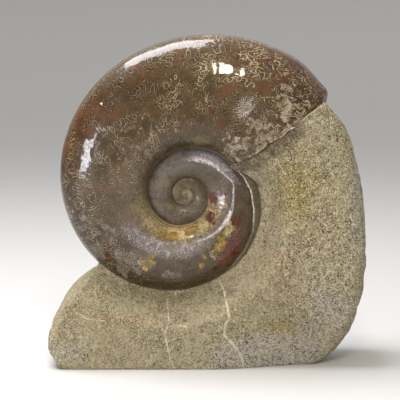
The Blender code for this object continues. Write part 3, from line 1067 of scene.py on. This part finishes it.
def stone_mesh():
    """The fine stone: closed sections from the lip on the left to the mouth. It also gives how far each point
    is from the shell, and how near to the stone's edge."""
    steps = np.arange((len(STONE_EDGE) - 1) * EDGE_STEPS + 1) / EDGE_STEPS
    edge_x, edge_z, angle, rounding = spline(STONE_EDGE, steps).T[:, :, None]
    edge_z = np.maximum(edge_z, -AXIS_HEIGHT)
    contact = flank_bow(angle, contact_share(angle) * venter_radius(angle))
    bows = 90.0 + (contact - 90.0) * np.arange(SOCKET_STEPS + 1)[None, :] / SOCKET_STEPS
    radius, width = flank_point(angle, bows)
    socket = np.stack([radius * np.cos(np.radians(angle)), width, radius * np.sin(np.radians(angle))], -1)
    start_x, start_half, start_z = (socket[:, -1:, k] for k in range(3))
    span = np.hypot(edge_x - start_x, edge_z - start_z)
    rounding = np.minimum(rounding, span / 2.0)
    ramp = np.minimum(RAMP_WIDTH, (span - rounding) / 2.0)
    flat = span - ramp - rounding
    bends = np.radians(90.0 * np.arange(1, ROUND_STEPS + 1) / ROUND_STEPS)[None, :]
    reach = np.concatenate(
        [
            ramp * np.arange(1, RAMP_STEPS + 1) / RAMP_STEPS,
            ramp + flat * np.arange(1, FACE_STEPS + 1) / FACE_STEPS,
            span - rounding + rounding * np.sin(bends),
        ],
        axis=1,
    )
    drop = np.zeros_like(reach)
    drop[:, RAMP_STEPS + FACE_STEPS :] = rounding * (1.0 - np.cos(bends))
    x = start_x + (edge_x - start_x) * reach / span
    z = start_z + (edge_z - start_z) * reach / span
    half = np.maximum(start_half / 2.0, stone_half(x, z) - drop)
    half_loop = np.concatenate([socket, np.stack([x, half, z], -1)], 1)
    front = half_loop * np.array([1.0, -1.0, 1.0])
    shares = np.arange(1, SIDE_STEPS)[None, :, None] / SIDE_STEPS
    side = front[:, -1:] * (1.0 - shares) + half_loop[:, -1:] * shares
    points = np.concatenate([front, side, half_loop[:, :0:-1]], 1).reshape(-1, 3)
    free, rim = (
        np.concatenate([np.zeros((len(steps), SOCKET_STEPS + 1)), table], 1)
        for table in (reach, smooth(1.0 - (span - reach) / RIM_REACH))
    )
    free, rim = (
        np.concatenate([table, np.repeat(table[:, -1:], SIDE_STEPS - 1, 1), table[:, :0:-1]], 1)
        for table in (free, rim)
    )
    rows, columns = free.shape
    ends = [list(range(columns)), list(range((rows - 1) * columns, rows * columns))]
    return points, grid_faces(rows, columns, closed=True), ends, free.ravel(), rim.ravel()


def rough_stone(points, outward, free, rim):
    """Moves the stone's free surface in and out: broad lumps, hollows, chipped edges, and coarse grains."""
    loose = smooth(free / SHELL_REACH) * smooth((points[:, 2] + AXIS_HEIGHT) / FOOT_REACH)
    chip_start = Vector((0.0, 0.0, 0.3))
    height = np.empty(len(points))
    for k, place in enumerate(points):
        place = Vector(place)
        broad, small, grains = (fractal(place, *size[:2]) for size in (BROAD_LUMPS, SMALL_LUMPS, GRAINS))
        chips = max(0.0, fractal(place + chip_start, *CHIPS[:2]) + 0.05) * CHIPS[2] * rim[k]
        small_height = SMALL_LUMPS[2] + RIM_LUMPS_EXTRA * rim[k]
        height[k] = broad * BROAD_LUMPS[2] + small * small_height + grains * GRAINS[2] - chips
    moved = points + outward * (height * loose)[:, None]
    moved[:, 2] = np.maximum(moved[:, 2], -AXIS_HEIGHT)
    return moved


# The stone's noises: length, how many finer sizes lie on it, and how rough it is
STONE_NOISES = {
    "clumps": (0.006, 3.0, 0.6),
    "soft": (0.020, 4.0, 0.6),
    "broad": (0.060, 3.0, 0.55),
    "shade": (0.010, 4.0, 0.7),
    "pits": (0.012, 3.0),
}

# Shades that come with the stone's markings: smears beside the mouth, cracks, flecks, shade and rusty grains
SMEAR_SHADES = ((0.085, 0.055, 0.030), (0.155, 0.12, 0.075))
STONE_CRACK = (0.09, 0.07, 0.045)
FLECK = (0.24, 0.175, 0.035)
SHADE = (0.15, 0.125, 0.080)
RUSTY_GRAIN = (0.26, 0.13, 0.05)


def stone_material(settings):
    """Coarse sandstone: grains, olive, pink and grey stains, cracks, calcite veins through the block, and a
    strip of painted light beside the shell.
    """
    paint = Paint("sandstone")
    place = paint.place()
    grain = settings.grain
    speck = paint.noise(place, grain * 1.3, 2.0, 0.7)
    specks = paint.cells(place, grain, "Color")
    coarse = paint.cells(place, grain * 1.7, "Color")
    clumps, soft, broad, shade, pits = (paint.noise(place, *size) for size in STONE_NOISES.values())
    pink = (paint.number("pink") + broad * 0.7 + soft * 0.5 + speck * 0.15).rise(0.12, 0.72)
    greyed = (paint.number("greyed") + broad * 0.5 + soft * 0.3 + speck * 0.2).rise(0.20, 0.9)
    olive = (paint.number("olive") + soft * 0.6 + clumps * 0.9 + speck * 0.7).rise(0.30, 0.85)
    smeared = (paint.number("stained") + soft * 0.35 + clumps * 0.3).rise(0.2, 0.7)
    # A pale strip of painted light, lifting the shade on the ramp where the stone meets the shell
    painted_light_strip = paint.number("painted_light_strip")
    vein = paint.line("vein", 0.0006)
    patchy = (clumps * 1.6 + soft * 0.8 + speck * 0.6 + 0.75).most(0.15).least(1.0)
    crack = paint.line("crack", 0.0012) * (clumps * 2.0 + 0.8).least(1.0)
    flecks = (clumps * 1.5 + speck * 1.2 + paint.number("olive") * 0.5).rise(0.45, 0.80)
    shaded = (shade * 1.5 + soft * 0.6).rise(0.30, 0.75)
    sandy = paint.number("coarse") + soft * 0.5 + broad * 0.4
    bare = (1.0 + painted_light_strip * 0.15 - smeared * 0.6 - vein * 0.7) * sandy
    light_grain = (specks + clumps * 0.35).rise(0.62, 0.80) + coarse.rise(0.90, 0.94)
    dark_grain = (0.30 - specks - clumps * 0.25).rise(0.0, 0.14) + (0.07 - coarse).rise(0.0, 0.03)
    colour = paint.layered(
        paint.mixed(soft.rise(-0.5, 0.5), settings.base, settings.second),
        (
            (pink * 0.7, settings.pink),
            (greyed * 0.8, settings.grey),
            (olive * 0.75, settings.olive),
            (smeared * 0.85, paint.mixed(clumps.rise(-0.3, 0.3), *SMEAR_SHADES)),
            # Painted light on the ramp beside the shell
            (painted_light_strip * 0.8, settings.strip),
            (vein * patchy, settings.vein),
            (crack.most(0.0) * 0.6, STONE_CRACK),
            (flecks * 0.6, FLECK),
            (shaded * 0.5, SHADE),
            ((coarse - 0.83).rise(0.0, 0.04) * 0.45, RUSTY_GRAIN),
            (light_grain.least(1.0) * bare * 0.72, settings.light_grain),
            (dark_grain.least(1.0) * bare, settings.dark_grain),
        ),
    )
    bumps = (
        (specks * 0.5 + speck + coarse * 0.4 - crack * 2.0, 0.0005),
        (clumps + pits, 0.0009),
    )
    return paint.finish(colour, 0.85 + speck * 0.08, bumps)


# The veins down the stone and its cracks: x, z and half width in points
VEINS = (
    (
        (33, -84, 0.6),
        (38, -93, 0.8),
        (41, -104, 1.0),
        (43, -115, 1.3),
        (39, -122, 0.7),
        (38, -132, 1.2),
        (45, -140, 1.1),
        (51, -147, 1.3),
        (56, -158, 0.8),
        (58, -170, 0.6),
    ),
    ((-18, -106, 0.3), (-16, -120, 0.4), (-20, -131, 0.5), (-17, -145, 0.6),
     (-15, -156, 0.5), (-8, -171, 0.3)),
    ((-108, -109, 0.2), (-104, -111, 0.5), (-96, -116, 0.7), (-90, -117, 0.2), (-80, -118, 0.4)),
    ((-6, -123, 0.3), (1, -124, 0.5), (3, -129, 0.2)),
)
STONE_CRACKS = (
    ((150, -44, 0.3), (146, -52, 1.2), (143, -58, 0.7), (147, -66, 0.3)),
    ((118, -78, 0.3), (122, -84, 1.0), (120, -92, 0.5), (127, -98, 0.8), (126, -106, 0.3)),
    ((127, -116, 0.4), (130, -122, 1.3), (136, -124, 0.6), (132, -131, 0.7)),
    ((147, -100, 0.2), (152, -107, 0.8), (156, -110, 0.3)),
)

# Stains on the stone's faces, in points: the middle and half spread of each in x and z, and how strong it is
STAINS = {
    "olive": (
        (108, 8, 28, 44, 0.95),
        (76, -62, 16, 12, 0.55),
        (90, -126, 24, 9, 0.75),
        (143, -93, 8, 8, 0.60),
        (60, -104, 16, 10, 0.45),
        (-60, -92, 44, 12, 0.45),
        (-100, -108, 26, 18, 0.35),
        (120, 45, 20, 16, 0.45),
    ),
    "pink": (
        (92, -68, 24, 34, 0.75), (-45, -116, 44, 10, 0.60),
        (128, -15, 14, 24, 0.55), (60, -92, 18, 14, 0.40),
    ),
    "greyed": (
        (140, -110, 34, 40, 0.65),
        (84, -155, 60, 22, 1.05),
        (-120, -150, 40, 14, 0.50),
        (-146, -120, 12, 30, 0.60),
        (168, 0, 12, 90, 0.80),
    ),
}


def stone_values(points, free):
    """How olive, pink, grey, smeared, coarse, veined or cracked the stone is at each point, and where light is
    painted on it beside the shell.
    """
    x, z = points[:, 0] / SPOT_SIZE, points[:, 2] / SPOT_SIZE
    values = {
        name: np.max(
            [power * spot(x, z, across, wide, up, tall) for across, up, wide, tall, power in stains], axis=0
        )
        for name, stains in STAINS.items()
    }
    angle = np.degrees(np.arctan2(z, x))
    reach = np.hypot(x, z)
    near_mouth = hump((MOUTH_ANGLE - angle) * reach, 0.0, 800.0) * smooth((reach - 45.0) / 20.0)
    values["stained"] = 1.2 * near_mouth * (points[:, 1] < 0.0) * smooth((152.0 - reach) / 36.0)
    # Painted light beside the shell: a pale strip on the ramp to the right and below, and at the lip on the
    # left
    beside = smooth((angle + 75.0) / 30.0) * smooth((14.0 - angle) / 12.0) + smooth((-118.0 - angle) / 12.0)
    values["painted_light_strip"] = hump(free, 0.0, 0.011) * beside
    values["coarse"] = 0.78 + 0.37 * smooth((z + 0.7 * x + 60.0) / 90.0) + 0.35 * values["greyed"]
    values["vein_side"], values["vein_width"] = line_distance(x, z, VEINS)
    values["crack_side"], values["crack_width"] = line_distance(x, z, STONE_CRACKS)
    return values


class AMMONITE_OT_stone(bpy.types.Operator):
    """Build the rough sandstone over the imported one"""

    bl_idname = "ammonite.stone"
    bl_label = "Sandstone"

    def execute(self, context):
        settings = context.scene.ammonite_stone
        points, faces, ends, free, rim = stone_mesh()
        points = rough_stone(points, normals_of(points, faces), free, rim)
        values = stone_values(points, free)
        stone = new_piece(
            "sandstone_block", points + np.array(shell_axis()), [*faces.tolist(), *ends], values
        )
        stone.data.materials.append(stone_material(settings))
        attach(stone, "root")
        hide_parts("matrix_stone")
        return {"FINISHED"}


# Stage


def area_light(name, place, target, width, height, power, colour):
    light = bpy.data.lights.new(name, "AREA")
    light.shape = "RECTANGLE"
    light.size = width
    light.size_y = height
    light.energy = power
    light.color = colour
    lamp = bpy.data.objects.new(name, light)
    lamp.location = place
    lamp.rotation_euler = (Vector(target) - Vector(place)).to_track_quat("-Z", "Y").to_euler()
    bpy.context.scene.collection.objects.link(lamp)
    return lamp


# The floor, which curves up into a low round backdrop: radius and height
BOWL = (
    (0.001, 0.0), (1.5, 0.0), (1.9, 0.01),
    (2.2, 0.06), (2.4, 0.16), (2.55, 0.32), (2.62, 0.55), (2.65, 1.3),
)
BOWL_STEPS = 96
FLOOR_ROUGHNESS = 0.7

# The lights: name, place from the shell's axis, width, height, power in watts and colour
LIGHTS = (
    ("overhead", (-0.34, 0.05, 1.08), 0.62, 0.78, 19.5, (0.95, 0.95, 1.0)),
    ("window", (-0.97, -1.04, -0.03), 0.28, 0.42, 8.0, (0.92, 0.92, 1.0)),
    ("lamp", (0.07, -0.80, 0.66), 0.10, 0.18, 2.7, (1.0, 0.88, 0.68)),
    ("side_lamp", (-0.80, -0.60, 0.47), 0.05, 0.05, 0.6, (1.0, 0.85, 0.62)),
)

# The surroundings: their colour, their least strength, and what is added behind the fossil and above it
SKY_COLOUR = (0.85, 0.85, 0.85, 1.0)
SKY_STRENGTH = 0.20
SKY_ADDED = 0.62

# The camera's sensor in millimetres, and the picture's width and middle in points
SENSOR_WIDTH = 36.0
PICTURE_WIDTH = 400.0
PICTURE_MIDDLE = (14.5, -5.25)


class AMMONITE_OT_stage(bpy.types.Operator):
    """Set the floor, the lights, the surroundings and the camera"""

    bl_idname = "ammonite.stage"
    bl_label = "Stage"

    def execute(self, context):
        settings = context.scene.ammonite_stage
        turns = [2.0 * math.pi * k / BOWL_STEPS for k in range(BOWL_STEPS)]
        points = [(reach * math.cos(turn), reach * math.sin(turn), z) for reach, z in BOWL for turn in turns]
        faces = grid_faces(len(BOWL), BOWL_STEPS, closed=True).tolist()
        floor = new_piece("floor", np.array(points), faces, {})
        paint = Paint("floor")
        paint.shader.inputs["Base Color"].default_value = (*settings.floor, 1.0)
        paint.shader.inputs["Roughness"].default_value = FLOOR_ROUGHNESS
        floor.data.materials.append(paint.material)

        middle = shell_axis()
        for name, place, width, height, power, colour in LIGHTS:
            area_light(name, middle + Vector(place), middle, width, height, power, colour)

        world = bpy.data.worlds.new("surroundings")
        world.use_nodes = True
        tree = world.node_tree
        split = tree.nodes.new("ShaderNodeSeparateXYZ")
        tree.links.new(tree.nodes.new("ShaderNodeTexCoord").outputs["Generated"], split.inputs[0])
        behind = Value(tree, split.outputs["Y"]).rise(0.1, 0.8)
        above = Value(tree, split.outputs["Z"]).rise(0.25, 0.85)
        strength = behind.most(above) * SKY_ADDED + SKY_STRENGTH
        background = tree.nodes["Background"]
        background.inputs["Color"].default_value = SKY_COLOUR
        tree.links.new(strength.socket, background.inputs["Strength"])
        context.scene.world = world

        camera = bpy.data.objects.new("camera", bpy.data.cameras.new("camera"))
        context.scene.collection.objects.link(camera)
        camera.data.sensor_width = SENSOR_WIDTH
        camera.data.lens = SENSOR_WIDTH * settings.camera_distance / (PICTURE_WIDTH * SPOT_SIZE)
        tilt = settings.camera_elevation
        right, up = (SPOT_SIZE * distance for distance in PICTURE_MIDDLE)
        target = middle + Vector((right, 0.0, up / math.cos(tilt)))
        camera.location = target + Vector((0.0, -math.cos(tilt), math.sin(tilt))) * settings.camera_distance
        camera.rotation_euler = (math.pi / 2.0 - tilt, 0.0, 0.0)
        context.scene.camera = camera
        context.scene.view_settings.view_transform = "Standard"
        return {"FINISHED"}


class AMMONITE_PT_panel(bpy.types.Panel):
    bl_idname = "AMMONITE_PT_panel"
    bl_label = "Ammonite"
    bl_space_type = "VIEW_3D"
    bl_region_type = "UI"
    bl_category = "Ammonite"

    def draw(self, context):
        for operator in OPERATORS:
            self.layout.operator(operator.bl_idname)


OPERATORS = (AMMONITE_OT_shell, AMMONITE_OT_stone, AMMONITE_OT_stage)
CLASSES = (ShellSettings, StoneSettings, StageSettings, *OPERATORS, AMMONITE_PT_panel)


def register():
    for each in CLASSES:
        bpy.utils.register_class(each)
    bpy.types.Scene.ammonite_shell = bpy.props.PointerProperty(type=ShellSettings)
    bpy.types.Scene.ammonite_stone = bpy.props.PointerProperty(type=StoneSettings)
    bpy.types.Scene.ammonite_stage = bpy.props.PointerProperty(type=StageSettings)


def unregister():
    del bpy.types.Scene.ammonite_stage
    del bpy.types.Scene.ammonite_stone
    del bpy.types.Scene.ammonite_shell
    for each in reversed(CLASSES):
        bpy.utils.unregister_class(each)


def main():
    register()
    bpy.ops.ammonite.shell()
    bpy.ops.ammonite.stone()
    bpy.ops.ammonite.stage()


if __name__ == "__main__":
    main()
